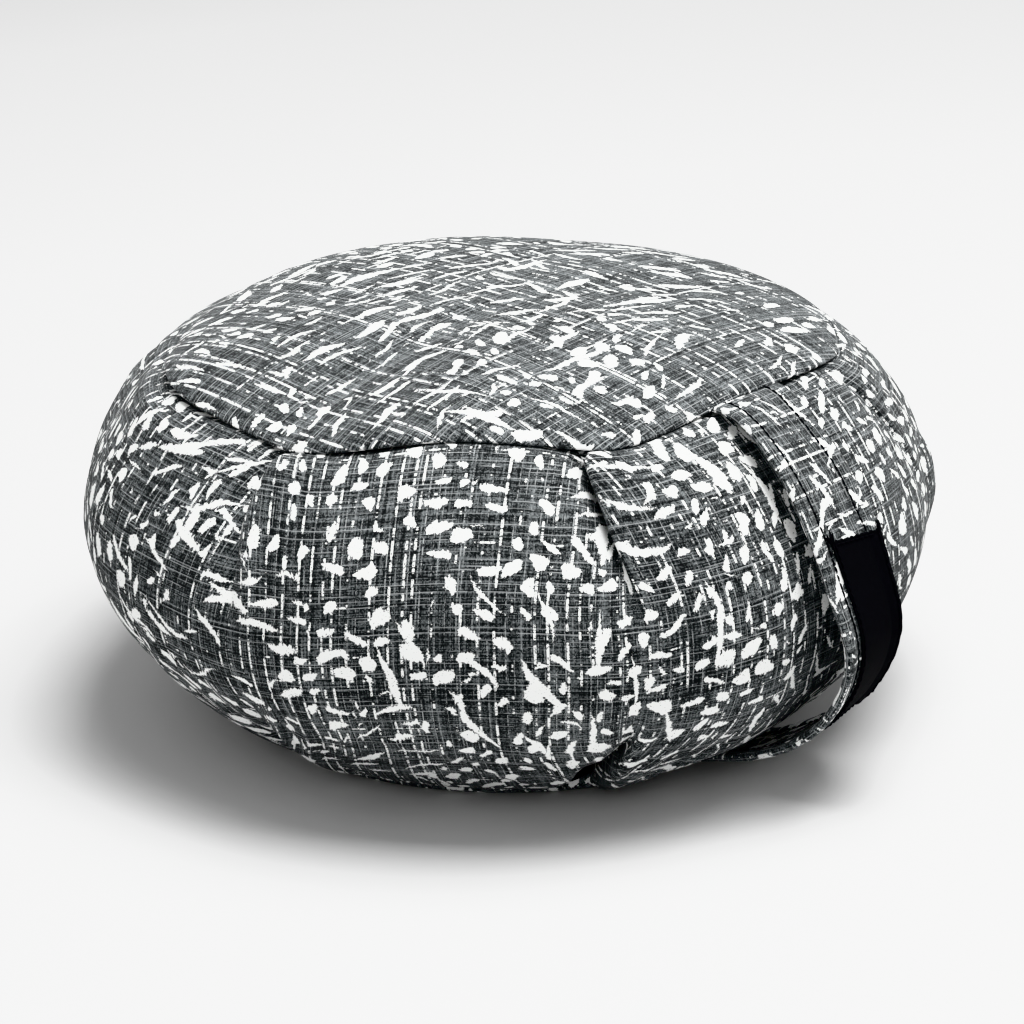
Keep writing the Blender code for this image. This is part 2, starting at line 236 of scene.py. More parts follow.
# Single creases and, with a height below 0, dents: the gap of the top seam, the shade beside
# the strap, and a hollow at the foot of one tuck.
DENT_ROWS = (
    (-143.0, 0.010, -101.0, 0.010, -0.0036, 0.0036, 0.0, 0.0),
    (-82.0, 0.008, -62.0, 0.008, -0.0014, 0.0030, 0.0, 0.0),
    (-3.0, 0.010, 21.0, 0.010, -0.0024, 0.0034, 0.0, 0.0),
    (-139.0, 0.16, -136.0, 0.62, -0.0030, 0.0080, 0.0, 0.2),
    (-146.0, 0.36, -143.0, 0.66, 0.0018, 0.0070, 0.0, 0.2),
    (41.0, 0.30, 42.0, 0.62, 0.0034, 0.0090, 0.0, 0.2),
    (-6.0, -0.08, -5.5, 0.90, -0.0050, 0.0160, 0.0, 0.0),
    (-27.0, 0.28, -25.5, 0.66, -0.0010, 0.0040, 0.001, 0.45),
    (-38.0, 0.84, -36.2, 1.03, -0.0042, 0.0062, 0.0, 0.0),
    (-40.5, 0.82, -41.5, 0.99, 0.0016, 0.0050, 0.0, 0.0),
    (-71.0, 0.72, -49.0, 0.80, 0.0010, 0.0050, 0.002, 0.45),
    (-104.0, 0.55, -111.0, 0.86, 0.0012, 0.0050, 0.002, 0.45),
    (-10.0, 0.70, 9.0, 0.78, 0.0012, 0.0050, -0.002, 0.45),
    (100.0, 0.30, 112.0, 0.62, 0.0014, 0.0060, 0.003, 0.45),
    (175.0, 0.50, 188.0, 0.78, 0.0014, 0.0060, -0.003, 0.45),
)

# The strap's route in the plane of +X and +Z, along the middle of its thickness, from inside
# the top seam, over the side, and back under into the bottom seam: x, z, and how much further
# out the strap's edge on the -Y side stands than its middle.
ROUTE_ROWS = (
    (0.1335, 0.1766, 0.0000),
    (0.1390, 0.1774, 0.0000),
    (0.1440, 0.1774, 0.0000),
    (0.1490, 0.1757, 0.0006),
    (0.1542, 0.1727, 0.0015),
    (0.1604, 0.1683, 0.0024),
    (0.1675, 0.1620, 0.0030),
    (0.1736, 0.1562, 0.0032),
    (0.1800, 0.1490, 0.0032),
    (0.1860, 0.1400, 0.0030),
    (0.1912, 0.1310, 0.0027),
    (0.1957, 0.1235, 0.0022),
    (0.1998, 0.1140, 0.0022),
    (0.2035, 0.1045, 0.0024),
    (0.2073, 0.0955, 0.0029),
    (0.2102, 0.0870, 0.0035),
    (0.2114, 0.0785, 0.0041),
    (0.2104, 0.0700, 0.0045),
    (0.2077, 0.0615, 0.0045),
    (0.2030, 0.0525, 0.0043),
    (0.1965, 0.0432, 0.0039),
    (0.1880, 0.0345, 0.0032),
    (0.1785, 0.0265, 0.0021),
    (0.1680, 0.0201, 0.0010),
    (0.1570, 0.0145, 0.0000),
    (0.1470, 0.0105, -0.0010),
    (0.1390, 0.0078, -0.0015),
    (0.1325, 0.0062, -0.0010),
    (0.1270, 0.0056, -0.0005),
)

# Half of the strap's section, from its middle to an edge. across: from the middle;
# half: half of its thickness. The folded edges are full, the sewn lines drawn in.
STRAP_ROWS = (
    (0.0000, 0.0013),
    (0.0040, 0.0013),
    (0.0080, 0.0013),
    (0.0120, 0.0013),
    (0.0140, 0.0011),
    (0.0152, 0.0009),
    (0.0164, 0.0012),
    (0.0190, 0.0020),
    (0.0220, 0.0022),
    (0.0241, 0.0015),
    (0.0250, 0.0000),
)
STITCH_LINE = 0.0152  # from the strap's middle
STITCH_LENGTH = 0.0034
STITCH_GAP = 0.0003
STITCH_POINTS = 7
STITCH_START = 0.0075  # along the strap from each end
STITCH_WOBBLE = 0.00018
WOBBLE_TURN = 997.0  # radians a metre, so that no two stitches lie alike
THREAD_RADIUS = 0.00046
PATCH_THREAD_RADIUS = 0.8 * THREAD_RADIUS
BOW_HEIGHT = 1.35  # of a stitch's middle above its ends, in the thread's radii
BOW_SINK = 0.45  # how deep its ends lie in the cloth, in the same
TUBE_SIDEWAYS = (0.13, 0.31, 0.94)  # a direction that no thread runs in
TUBE_END = 0.12  # radians: a tube's radius follows a sine from here to as many short of pi
TUBE_ROUND = 0.35  # and this power of it

LABEL_INSET = 0.0016  # from the patch's edge to its sewing thread
SEWN_DEPTH = 0.0004  # of the groove that the thread draws
SEWN_WIDTH = 0.0010
LABEL_CURL = 0.0004  # how far the patch's edge lifts
CURL_WIDTH = 0.0012
LABEL_WAVE = 0.0003  # of its sides, and how often in radians a metre
LABEL_WAVES = 130
LABEL_FRAY = 0.00025  # of its top edge, and how far down it fades
FRAY_DEPTH = 0.003
FRAY_WAVES = (2900, 1700)  # radians a metre
FRAY_COUNT = 14  # loose threads at each top corner of the patch
FRAY_SEED = 11
FRAY_POINTS = 6
FRAY_ROOT = 0.0008  # how far inside the patch a loose thread starts
FRAY_FOOT = 0.0012  # and how far to either side of the corner
FRAY_LEAN = (-0.0016, 0.0022)  # how far its tip lies outward
FRAY_LONG = (0.0022, 0.0056)
FRAY_LIFT = 0.0016  # how high it can stand


def table(columns, rows):
    """The rows as one array for each column, by the columns' names."""
    return dict(zip(columns.split(), np.array(rows, float).T))


def smooth_path(points, parts):
    """A smooth curve through the points, a Catmull-Rom spline with this many parts a span."""
    points = np.array(points, float)
    before = 2 * points[0] - points[1]
    after = 2 * points[-1] - points[-2]
    p = np.vstack([before, points, after])
    t = (np.arange(parts) / parts)[:, None]
    spans = []
    for i in range(len(points) - 1):
        a, b, c, d = p[i : i + 4]
        bend = (2 * a - 5 * b + 4 * c - d) * t**2
        turn = (3 * b - a - 3 * c + d) * t**3
        spans.append((2 * b + (c - a) * t + bend + turn) / 2)
    return np.vstack(spans + [points[-1:]])


def lengths(path):
    """The distance along the path at each of its points."""
    return np.concatenate([[0], np.cumsum(np.linalg.norm(np.diff(path, axis=0), axis=1))])


def evenly(path, step):
    """Points along the path at about this spacing, its ends kept."""
    along = lengths(path)
    at = np.linspace(0, along[-1], max(2, round(along[-1] / step) + 1))
    return np.stack([np.interp(at, along, axis) for axis in path.T], axis=1)


def unit(vectors):
    return vectors / np.linalg.norm(vectors, axis=1, keepdims=True)


def ease(low, high, value):
    """0 below low, 1 above high, and smooth between."""
    t = np.clip((value - low) / (high - low), 0, 1)
    return t * t * (3 - 2 * t)


# ---- The cover's surface


def crown_rings():
    """The top panel's rings: radius, height, hexagon, upper, lower, unevenness, way down."""
    crown = table("across up hexagon", smooth_path(CROWN_ROWS, RING_PARTS))
    radius = crown["across"] * TOP_SEAM_RADIUS
    height = TOP_SEAM_HEIGHT + crown["up"] * (CROWN_HEIGHT - TOP_SEAM_HEIGHT)
    none = np.zeros_like(radius)
    return np.stack([radius, height, crown["hexagon"], none, none, none + 1.0, none], axis=1)


def band_rings():
    """The side band's rings, from the top seam to the bottom seam."""
    band = table("down out hexagon upper lower", smooth_path(BAND_ROWS, RING_PARTS))
    widest = band["out"].argmax()
    seam = np.where(np.arange(len(band["out"])) <= widest, TOP_SEAM_RADIUS, BOTTOM_SEAM_RADIUS)
    radius = seam + band["out"] * (DIAMETER / 2 - seam)
    height = TOP_SEAM_HEIGHT + band["down"] * (BOTTOM_SEAM_HEIGHT - TOP_SEAM_HEIGHT)
    uneven = np.clip(1 - band["down"] / UNEVEN_REACH, 0, 1)
    parts = [radius, height, band["hexagon"], band["upper"], band["lower"], uneven, band["down"]]
    return np.stack(parts, axis=1)


def bottom_rings():
    """The bottom panel's rings, from its seam to the middle."""
    bottom = table("inward up hexagon lower", smooth_path(BOTTOM_ROWS, RING_PARTS))
    radius = BOTTOM_SEAM_RADIUS + bottom["inward"] * (REST_RADIUS - BOTTOM_SEAM_RADIUS)
    height = np.maximum(BOTTOM_SEAM_HEIGHT * bottom["up"], 0)
    none = np.zeros_like(radius)
    parts = [radius, height, bottom["hexagon"], none, bottom["lower"], none, none + 1]
    return np.stack(parts, axis=1)


def outward_normals(rings):
    """The section's outward direction at each ring, in radius and height."""
    way = np.gradient(rings[:, :2], axis=0)
    return unit(np.stack([-way[:, 1], way[:, 0]], axis=1))


def sector_columns():
    """The columns of one tuck's sixty degrees, as in TUCK_ROWS, and 1 for those in the tuck."""
    tuck = smooth_path(TUCK_ROWS, TUCK_PARTS)
    half = TUCK_DEGREES / 2
    left = np.linspace(-half, tuck[0, 0], round((tuck[0, 0] + half) / PLAIN_STEP) + 1)[:-1]
    right = np.linspace(tuck[-1, 0], half, round((half - tuck[-1, 0]) / PLAIN_STEP) + 1)[1:-1]
    sides = [np.stack([side, 0 * side, 0 * side, 0 * side], axis=1) for side in (left, right)]
    middle = np.column_stack([tuck, np.ones(len(tuck))])
    return np.vstack([sides[0], middle, sides[1]])


def corner_share(degrees):
    """How far a hexagon's side stands out at this angle from a corner: 1 there, 0 half way."""
    rounded = np.hypot(degrees, CORNER_ROUND) * (1 - CORNER_ROUND / TUCK_DEGREES)
    from_middle = np.radians(TUCK_DEGREES / 2 - np.minimum(rounded, TUCK_DEGREES / 2))
    return (1 / np.cos(from_middle) - 1) / (1 / math.cos(math.pi / TUCKS) - 1)


def between(values, index, degrees):
    """The tucks' values, eased from one tuck to the next, at these degrees from one tuck."""
    neighbour = np.where(degrees > 0, values[(index + 1) % TUCKS], values[index - 1])
    share = (1 - np.cos(np.pi * np.abs(degrees) / TUCK_DEGREES)) / 2
    return values[index] + share * (neighbour - values[index])


def amid(values, index, degrees):
    """The stretches' values, full half way between two tucks and fading to nothing at a tuck."""
    stretch = np.where(degrees > 0, values[index], values[index - 1])
    return stretch * (1 - np.cos(2 * np.pi * degrees / TUCK_DEGREES)) / 2


def shoulder(down):
    """1 at the band's shoulder, fading to the seam and to the widest ring."""
    return ease(0.0, SHOULDER_FULL, down) * (1 - ease(SHOULDER_FADE, SHOULDER_END, down))


def band_waves(angle, down):
    """The waves of the filled band at these angles, this share of the way down it."""
    waves = table("count phase drift height", WAVE_ROWS)
    fade = np.clip(np.minimum(down, 1 - down) / WAVE_EDGE, 0, 1)
    total = np.zeros_like(angle)
    for count, phase, drift, height in zip(*waves.values()):
        total += height * np.cos(count * angle + np.radians(phase + drift * down))
    return fade * total


def cover_surface(rings, creases):
    """Points of the cover, one row a ring and one column an angle. creases(angle, down) gives
    how far the finer creases move each point outward."""
    columns = sector_columns()
    plain, along, inward, folded = columns.T[:, None, :]
    radius, height, hexagon, upper, lower, uneven, down = rings.T[:, :, None]
    out = outward_normals(rings)[:, :, None]
    folds = table("turn out up upper lower slant foot", FOLD_ROWS)
    sides = table("out up full", SIDE_ROWS)
    drop = np.where(height > CROWN_HEIGHT / 2, CORNER_DROP * np.maximum(hexagon, 0), 0)
    size = radius / TOP_SEAM_RADIUS
    sectors = []
    for index in range(TUCKS):
        depth = upper * folds["upper"][index] + lower * folds["lower"][index]
        slant = folds["slant"][index] * np.sin(np.pi * down) + folds["foot"][index] * down
        nearness = 1 - np.abs(plain) / (TUCK_DEGREES / 2)
        place = plain + folds["turn"][index] * nearness
        degrees = TUCK_DEGREES * (index + 0.5) + place + slant * nearness
        lap = np.degrees(along / np.maximum(radius, 1e-6)) - plain
        degrees = degrees + folded * np.minimum(depth, 1) * lap
        angle = np.radians(degrees)
        full = shoulder(down) * amid(sides["full"], index, place)
        swell = band_waves(angle, down) + full - depth * inward + creases(angle, down)
        stand = between(folds["out"], index, place) + amid(sides["out"], index, place)
        rise = between(folds["up"], index, place) + amid(sides["up"], index, place)
        away = radius * (1 + CORNER_RISE * hexagon * (corner_share(place) - MEAN_CORNER))
        away = away + uneven * size * stand + swell * out[:, 0]
        up = height - drop * (corner_share(place) - MEAN_CORNER) + swell * out[:, 1]
        up = up + uneven * np.minimum(size, 1) * rise
        sectors.append(np.stack([away * np.cos(angle), away * np.sin(angle), up], axis=2))
    return np.concatenate(sectors, axis=1)


def no_creases(angle, down):
    """For a panel without creases."""
    return np.zeros(np.broadcast(angle, down).shape)


def crease_rows():
    """The fans at the six tucks, each a little different, and the single creases and dents."""
    rows = list(DENT_ROWS)
    for index, fold in enumerate(FOLD_ROWS):
        for number, row in enumerate(FAN_ROWS):
            bottom = row[1] > 0.5
            middle = TUCK_DEGREES * (index + 0.5) + fold[0] + (fold[6] if bottom else 0.0)
            vary = math.sin(VARY_TUCK * index + VARY_CREASE * number)
            rows.append((
                middle + row[0], row[1],
                middle + row[2] + VARY_TURN * vary, row[3] + VARY_DOWN * vary,
                row[4] * (MEAN_HEIGHT + VARY_HEIGHT * vary), row[5] * (1 - VARY_WIDTH * vary),
                row[6], FAN_SIDES,
            ))
    return rows


def band_creases(angle, down):
    """How far the creases of the band's cloth stand out: ridges between two shallow furrows,
    each along a line from one place on the band to another, and drawn out at its ends."""
    total = np.zeros(np.broadcast(angle, down).shape)
    height_of_band = TOP_SEAM_HEIGHT + CREASE_BULGE
    for from_angle, from_down, to_angle, to_down, height, width, bow, sides in crease_rows():
        turn = np.degrees(angle) - from_angle
        x = np.radians((turn + 180) % 360 - 180) * DIAMETER / 2
        y = (down - from_down) * height_of_band
        way_x = math.radians(to_angle - from_angle) * DIAMETER / 2
        way_y = (to_down - from_down) * height_of_band
        long = math.hypot(way_x, way_y)
        share = (x * way_x + y * way_y) / long**2
        aside = (y * way_x - x * way_y) / long
        aside = aside - bow * np.sin(np.pi * np.clip(share, 0, 1))
        aside = aside / (width * (1 + CREASE_SPREAD * np.clip(share, 0, 1)))
        beside = np.exp(-((aside - FURROW_PLACE) ** 2)) + np.exp(-((aside + FURROW_PLACE) ** 2))
        ridge = np.exp(-(aside**2)) - sides * beside
        fade = ease(*CREASE_RISE, share) * (1 - ease(*CREASE_FADE, share))
        total += height * fade * ridge
    return total


# ---- Meshes

QUAD_CORNERS = ((0, 0), (1, 0), (1, 1), (0, 1))  # rows down and columns on, round a quad


def mesh_object(name, points, faces, material, corners=None):
    """A smooth object of these faces. corners: the place on the flat cloth of each corner of
    each face, for a UV map named Cloth."""
    data = bpy.data.meshes.new(name)
    data.from_pydata(points.tolist(), [], faces)
    if corners is not None:
        layer = data.uv_layers.new(name="Cloth")
        layer.uv.foreach_set("vector", corners.reshape(-1).astype(np.float32))
    data.shade_smooth()
    data.materials.append(material)
    made = bpy.data.objects.new(name, data)
    bpy.context.scene.collection.objects.link(made)
    return made


def grid_object(name, points, place_at, material):
    """A mesh of the grid of points, closed round its columns. place_at(row, column, quad) gives
    the place on the flat cloth of a point, as a corner of the quads in this column."""
    rows, columns = points.shape[:2]
    index = np.arange(rows * columns).reshape(rows, columns)
    after = np.roll(index, -1, axis=1)
    quads = np.stack([index[:-1], index[1:], after[1:], after[:-1]], axis=2)
    row, quad = np.indices(quads.shape[:2])
    places = [place_at(row + down, quad + right, quad) for down, right in QUAD_CORNERS]
    faces = quads.reshape(-1, 4).tolist()
    return mesh_object(name, points.reshape(-1, 3), faces, material, np.stack(places, axis=2))


def panel_places(points):
    """A round panel laid flat: each point at its distance over the cloth from the middle."""
    from_middle = np.ptp(points[0, :, 0]) < np.ptp(points[-1, :, 0])
    start = points if from_middle else points[::-1]
    steps = np.linalg.norm(np.diff(start, axis=0), axis=2)
    reach = np.vstack([np.zeros(points.shape[1]), np.cumsum(steps, axis=0)])
    reach = reach if from_middle else reach[::-1]
    angle = np.arctan2(points[..., 1], points[..., 0])
    flat = np.stack([reach * np.cos(angle), reach * np.sin(angle)], axis=2)
    return lambda row, column, quad: flat[row, column % flat.shape[1]]


def evened(values, plain):
    """Values given for the columns, one row a ring, averaged with those of the columns near by."""
    at = np.concatenate([TUCK_DEGREES * (i + 0.5) + plain for i in range(TUCKS)])
    apart = np.abs((at[:, None] - at[None, :] + 180) % 360 - 180)
    weight = np.exp(-((apart / EVEN_DEGREES) ** 2)) * np.gradient(at)[None, :]
    mixed = values @ (weight / weight.sum(axis=1, keepdims=True)).T
    return np.concatenate([mixed, mixed[:, :1]], axis=1)


def band_places(points, rings):
    """The side band laid flat: along it from tuck to tuck, and down it. The map breaks in the
    bottom of each tuck, where the cloth between is folded away."""
    columns = sector_columns()
    count = len(columns)
    valley = int(np.argmax(columns[:, 2]))
    pitch = BAND_LENGTH / TUCKS
    closed = np.concatenate([points, points[:, :1]], axis=1)
    drops = np.linalg.norm(np.diff(points, axis=0), axis=2)
    down = np.vstack([np.zeros(points.shape[1]), np.cumsum(drops, axis=0)])
    down = evened(down, columns[:, 0])
    steps = np.linalg.norm(np.diff(closed, axis=1), axis=2)
    along = np.concatenate([np.zeros((len(points), 1)), np.cumsum(steps, axis=1)], axis=1)
    folded_above = np.maximum.accumulate(rings[::-1, 3])[::-1]
    folded_below = np.maximum.accumulate(rings[:, 4])
    open_share = 1 - ease(*OPEN_DEPTHS, np.maximum(folded_above, folded_below))

    def place_at(row, column, quad):
        sector = quad // count
        first = along[row, sector * count]
        last = along[row, (sector + 1) * count]
        fit = 1 + (pitch / (last - first) - 1) * open_share[row]
        from_left = (along[row, column] - first) * fit
        from_right = (last - along[row, column]) * fit
        left = quad % count < valley
        u = np.where(left, sector * pitch + from_left, (sector + 1) * pitch - from_right)
        return np.stack([u, down[row, column]], axis=-1)

    return place_at


# ---- Materials

DARK = (0.0078, 0.0088, 0.0092, 1.0)
MIDDLE = (0.176, 0.190, 0.194, 1.0)
LIGHT = (0.400, 0.416, 0.420, 1.0)
WHITE = (0.870, 0.877, 0.866, 1.0)
BLACK = (0.0030, 0.0030, 0.0036, 1.0)
# The tops of the patch's ribs, a little lighter than its black
TAPE_RIB_TOP = (0.0075, 0.0075, 0.0085, 1.0)

# The cotton's weave, in millimetres
THREAD_PITCH = 0.50  # between two threads
SLUB_APART = 7.31  # so that the slubs of two neighbours have nothing to do with each other
SLUB_RUN = 0.07  # slubs a millimetre of thread
STREAK_RUN = (0.38, 0.014)  # streaks a millimetre, across the threads and along them
# How much the ground's tone varies from one crossing of two threads to the next, and then, for
# threads that follow each other along the map's u and along its v: by each thread's own dye, by
# its slubs, and by the streaks that neighbours make together.
CROSSING_TONE = 0.74
THREAD_TONES = ((0.40, 0.62), (0.8, 1.0), (1.2, 0.3))
MEAN_TONE = 0.245
TONE_POWER = 1.25
# Single light threads: the pitch between two of them; half of one's width; how much of its
# length is hidden; its breaks in a millimetre; the seed of its random numbers.
WEFTS = (2.9, 0.21, 0.505, 0.03, 71.0)
WARPS = (3.7, 0.26, 0.50, 0.06, 83.0)
INKED_WARPS = (7.3, 0.62, 0.54, 0.15, 31.0)
INKED_WEFTS = (23.0, 0.5, 0.58, 0.07, 37.0)
WEFT_TONE = 0.72
WARP_TONE = 0.85

# The print, in millimetres. Rows of dashes: the pitch along a row and between two; the least and
# the most of a dash's length, and of its width; how square its ends are; the seed.
GRAINS = ((13.0, 10.0), (5.2, 11.0), (2.6, 7.4), 4.5, 5.0)
SLIM = ((27.0, 9.5), (11.0, 24.0), (1.6, 4.8), 2.2, 9.0)
REEDS = ((50.0, 19.0), (20.0, 42.0), (2.0, 6.0), 1.6, 17.0)
REEDS_MISSING = 0.1  # share of the reeds that are left out
PATCH_SIZE = 66.0  # of a patch of grains or of slim dashes
GRAIN_SHARE = 0.58  # of the patches
REED_PATCH = 82.0
REED_SHARE = 0.45
REED_PLACE = (31.0, 77.0, 0.0)
PRINT_EDGE = 0.15  # over which a mark's edge fades
DASH_LEAN = 0.25
DASH_TAPER = 0.6
SLOW_WANDER = (0.045, 0.0, 9.0)  # waves a millimetre, finer detail, and how far it takes a mark
FAST_WANDER = (0.30, 1.5, 2.0)
THREAD_JUMP = (0.7, 0.8)  # how far one thread takes its piece of a mark along with it
EDGE_ROUGH = 0.36
INK_ROUGH = 1.2
TAPE_RIBS = (2.6, 3.4)  # of the patch's tape, a millimetre across it and along it

# The cotton of each piece: its material, the degrees that its cloth is turned, the share of the
# print's marks that are left out, and the seed of its random numbers.
COTTONS = {
    "top_panel": ("top_cotton", 93, 0.36, 6.0),
    "side_band": ("band_cotton", 0, 0.24, 7.0),
    "bottom_panel": ("bottom_cotton", -20, 0.16, 3.0),
    "carry_handle": ("strap_cotton", 90, 0.26, 4.0),
}


class Graph:
    """The shader nodes of one material. Values passed in are numbers or other nodes' outputs."""

    def __init__(self, name):
        self.material = bpy.data.materials.new(name)
        self.material.use_nodes = True
        self.nodes = self.material.node_tree.nodes
        self.links = self.material.node_tree.links
        self.shader = self.nodes["Principled BSDF"]

    def node(self, kind, inputs=None, **settings):
        made = self.nodes.new("ShaderNode" + kind)
        for key, value in settings.items():
            setattr(made, key, value)
        for key, value in (inputs or {}).items():
            self.put(made.inputs[key], value)
        return made

    def put(self, socket, value):
        if isinstance(value, bpy.types.NodeSocket):
            self.links.new(value, socket)
        else:
            socket.default_value = value

    def look(self, values):
        """Sets the shader's inputs by their names."""
        for key, value in values.items():
            self.put(self.shader.inputs[key], value)

    def bump(self, strength, distance, height):
        made = self.node("Bump", {"Strength": strength, "Distance": distance, "Height": height})
        self.look({"Normal": made.outputs[0]})

    def math(self, operation, *values, clamp=False):
        made = self.node("Math", dict(enumerate(values)), operation=operation, use_clamp=clamp)
        return made.outputs[0]

    def times(self, first, second):
        return self.math("MULTIPLY", first, second)

    def minus(self, first, second):
        return self.math("SUBTRACT", first, second)

    def most(self, first, second):
        return self.math("MAXIMUM", first, second)

    def span(self, share, low, high):
        """The value this share of the way from low to high."""
        return self.math("MULTIPLY_ADD", share, high - low, low)

    def vary(self, total, value, weight):
        """The total, moved by this weight of how far the value is above one half."""
        return self.math("MULTIPLY_ADD", self.minus(value, 0.5), weight, total)

    def off(self, value, middle=0.5):
        """How far the value's fraction is from this middle."""
        return self.math("ABSOLUTE", self.minus(self.math("FRACT", value), middle))

    def range(self, value, low, high):
        """0 below low, 1 above high, and smooth between; the other way round if low is higher."""
        values = {0: value, 1: low, 2: high, 3: 0.0, 4: 1.0}
        return self.node("MapRange", values, interpolation_type="SMOOTHSTEP").outputs[0]

    def vector(self, operation, *values):
        made = self.node("VectorMath", operation=operation)
        for socket, value in zip(made.inputs, values):
            self.put(socket, value)
        return made.outputs["Vector"]

    def joined(self, x, y, z=0.0):
        return self.node("CombineXYZ", {0: x, 1: y, 2: z}).outputs[0]

    def split(self, vector):
        return self.node("SeparateXYZ", {0: vector}).outputs

    def turned(self, vector, angle):
        values = {"Vector": vector, "Angle": angle}
        return self.node("VectorRotate", values, rotation_type="Z_AXIS").outputs[0]

    def cloth(self):
        """The place on the flat cloth, in millimetres."""
        uv = self.node("UVMap", uv_map="Cloth").outputs[0]
        return self.vector("MULTIPLY", uv, (1000, 1000, 0))

    def random(self, x, y=0.0, z=0.0):
        """Three random numbers from 0 to 1 for each whole place."""
        made = self.node("TexWhiteNoise", {"Vector": self.joined(x, y, z)}, noise_dimensions="3D")
        return self.node("SeparateColor", {0: made.outputs["Color"]}).outputs

    def noise(self, vector, scale, detail=2.0, rough=0.6):
        values = {"Vector": vector, "Scale": scale, "Detail": detail, "Roughness": rough}
        return self.node("TexNoise", values).outputs["Fac"]

    def wander(self, place, scale, detail, reach):
        """How far a noise moves each place along the map's u and v."""
        values = {"Vector": place, "Scale": scale, "Detail": detail}
        made = self.node("TexNoise", values, noise_dimensions="2D")
        return self.vector("MULTIPLY", made.outputs["Color"], (reach, reach, 0))

    def mix(self, share, first, second):
        made = self.node("Mix", data_type="RGBA")
        self.put(made.inputs[0], share)
        self.put(made.inputs[6], first)
        self.put(made.inputs[7], second)
        return made.outputs[2]


def thread_set(g, across, along, seed):
    """One set of parallel threads, a slub yarn: each thread's random numbers, and the three
    things that make it lighter or darker, its own dye, its slubs, and streaks of neighbours."""
    which = g.math("FLOOR", g.times(across, 1 / THREAD_PITCH))
    own = g.random(which, seed)
    run = g.joined(g.times(which, SLUB_APART), g.times(along, SLUB_RUN), seed)
    drift = g.joined(g.times(across, STREAK_RUN[0]), g.times(along, STREAK_RUN[1]), seed)
    return own, (own[0], g.noise(run, 1.0), g.noise(drift, 1.0, 3.0))


def bright_threads(g, across, along, row, seed):
    """Single light threads, broken along their length. row: one of those like WEFTS."""
    pitch, width, hidden, breaks, first = row
    place = g.times(across, 1 / pitch)
    which = g.math("FLOOR", place)
    own = g.random(which, first + seed, 5.0)
    off = g.off(place, g.span(own[0], 0.1, 0.9))
    run = g.joined(g.times(which, 3.7), g.times(along, breaks), first + seed)
    level = g.math("MULTIPLY_ADD", own[1], 0.12, g.minus(g.noise(run, 1.0, 4.0, 0.7), hidden))
    shown = g.range(level, 0.0, 0.10)
    half = g.times(g.span(shown, 0.4, 1.0), width)
    line = g.range(g.minus(g.times(off, pitch), half), 0.06, -0.10)
    return g.times(line, g.times(shown, g.span(own[2], 0.5, 1.0)))


def patches(g, place, size):
    """Patches of the print: each place from its patch's middle, turned its own way, and the
    patch's three random numbers."""
    cell = g.node("TexVoronoi", {"Vector": place, "Scale": 1 / size}, voronoi_dimensions="2D")
    middle = g.vector("MULTIPLY", cell.outputs["Position"], (size, size, 0))
    own = g.node("SeparateColor", {0: cell.outputs["Color"]}).outputs
    return g.turned(g.vector("SUBTRACT", place, middle), g.times(own[0], math.pi)), own


def dashes(g, turned, own, rough, row, missing, seed):
    """Rows of rough dashes. row: one of those like GRAINS; missing: share of them that are left
    out; rough: millimetres that an edge is out at a place."""
    pitch, long, wide, blunt, first = row
    seed = first + seed
    x, y, _ = g.split(turned)
    row_place = g.times(y, 1 / pitch[1])
    line = g.math("FLOOR", row_place)
    stagger = g.random(line, own[1], seed)[0]
    column_place = g.math("ADD", g.times(x, 1 / pitch[0]), stagger)
    column = g.math("FLOOR", column_place)
    drawn = g.random(line, column, g.math("ADD", own[2], seed))
    again = g.random(line, column, g.math("ADD", own[2], seed + 0.5))
    dx = g.times(g.minus(g.math("FRACT", column_place), 0.5), pitch[0])
    dy = g.times(g.minus(g.math("FRACT", row_place), 0.5), pitch[1])
    dy = g.math("MULTIPLY_ADD", dx, g.span(drawn[2], -DASH_LEAN, DASH_LEAN), dy)
    half_x = g.span(drawn[0], long[0] / 2, long[1] / 2)
    half_y = g.span(g.math("POWER", drawn[1], 1.6), wide[0] / 2, wide[1] / 2)
    taper = g.span(again[0], -DASH_TAPER, DASH_TAPER)
    taper = g.math("MULTIPLY_ADD", g.math("DIVIDE", dx, half_x), taper, 1.0)
    reach = g.math("MINIMUM", g.math("DIVIDE", g.math("ABSOLUTE", dx), half_x), 1.6)
    narrowed = g.times(g.minus(1.0, g.math("POWER", reach, blunt)), taper)
    over = g.minus(g.math("ABSOLUTE", dy), g.times(half_y, narrowed))
    mark = g.range(g.math("ADD", over, rough), PRINT_EDGE, -PRINT_EDGE)
    return g.times(mark, g.math("GREATER_THAN", again[1], missing))


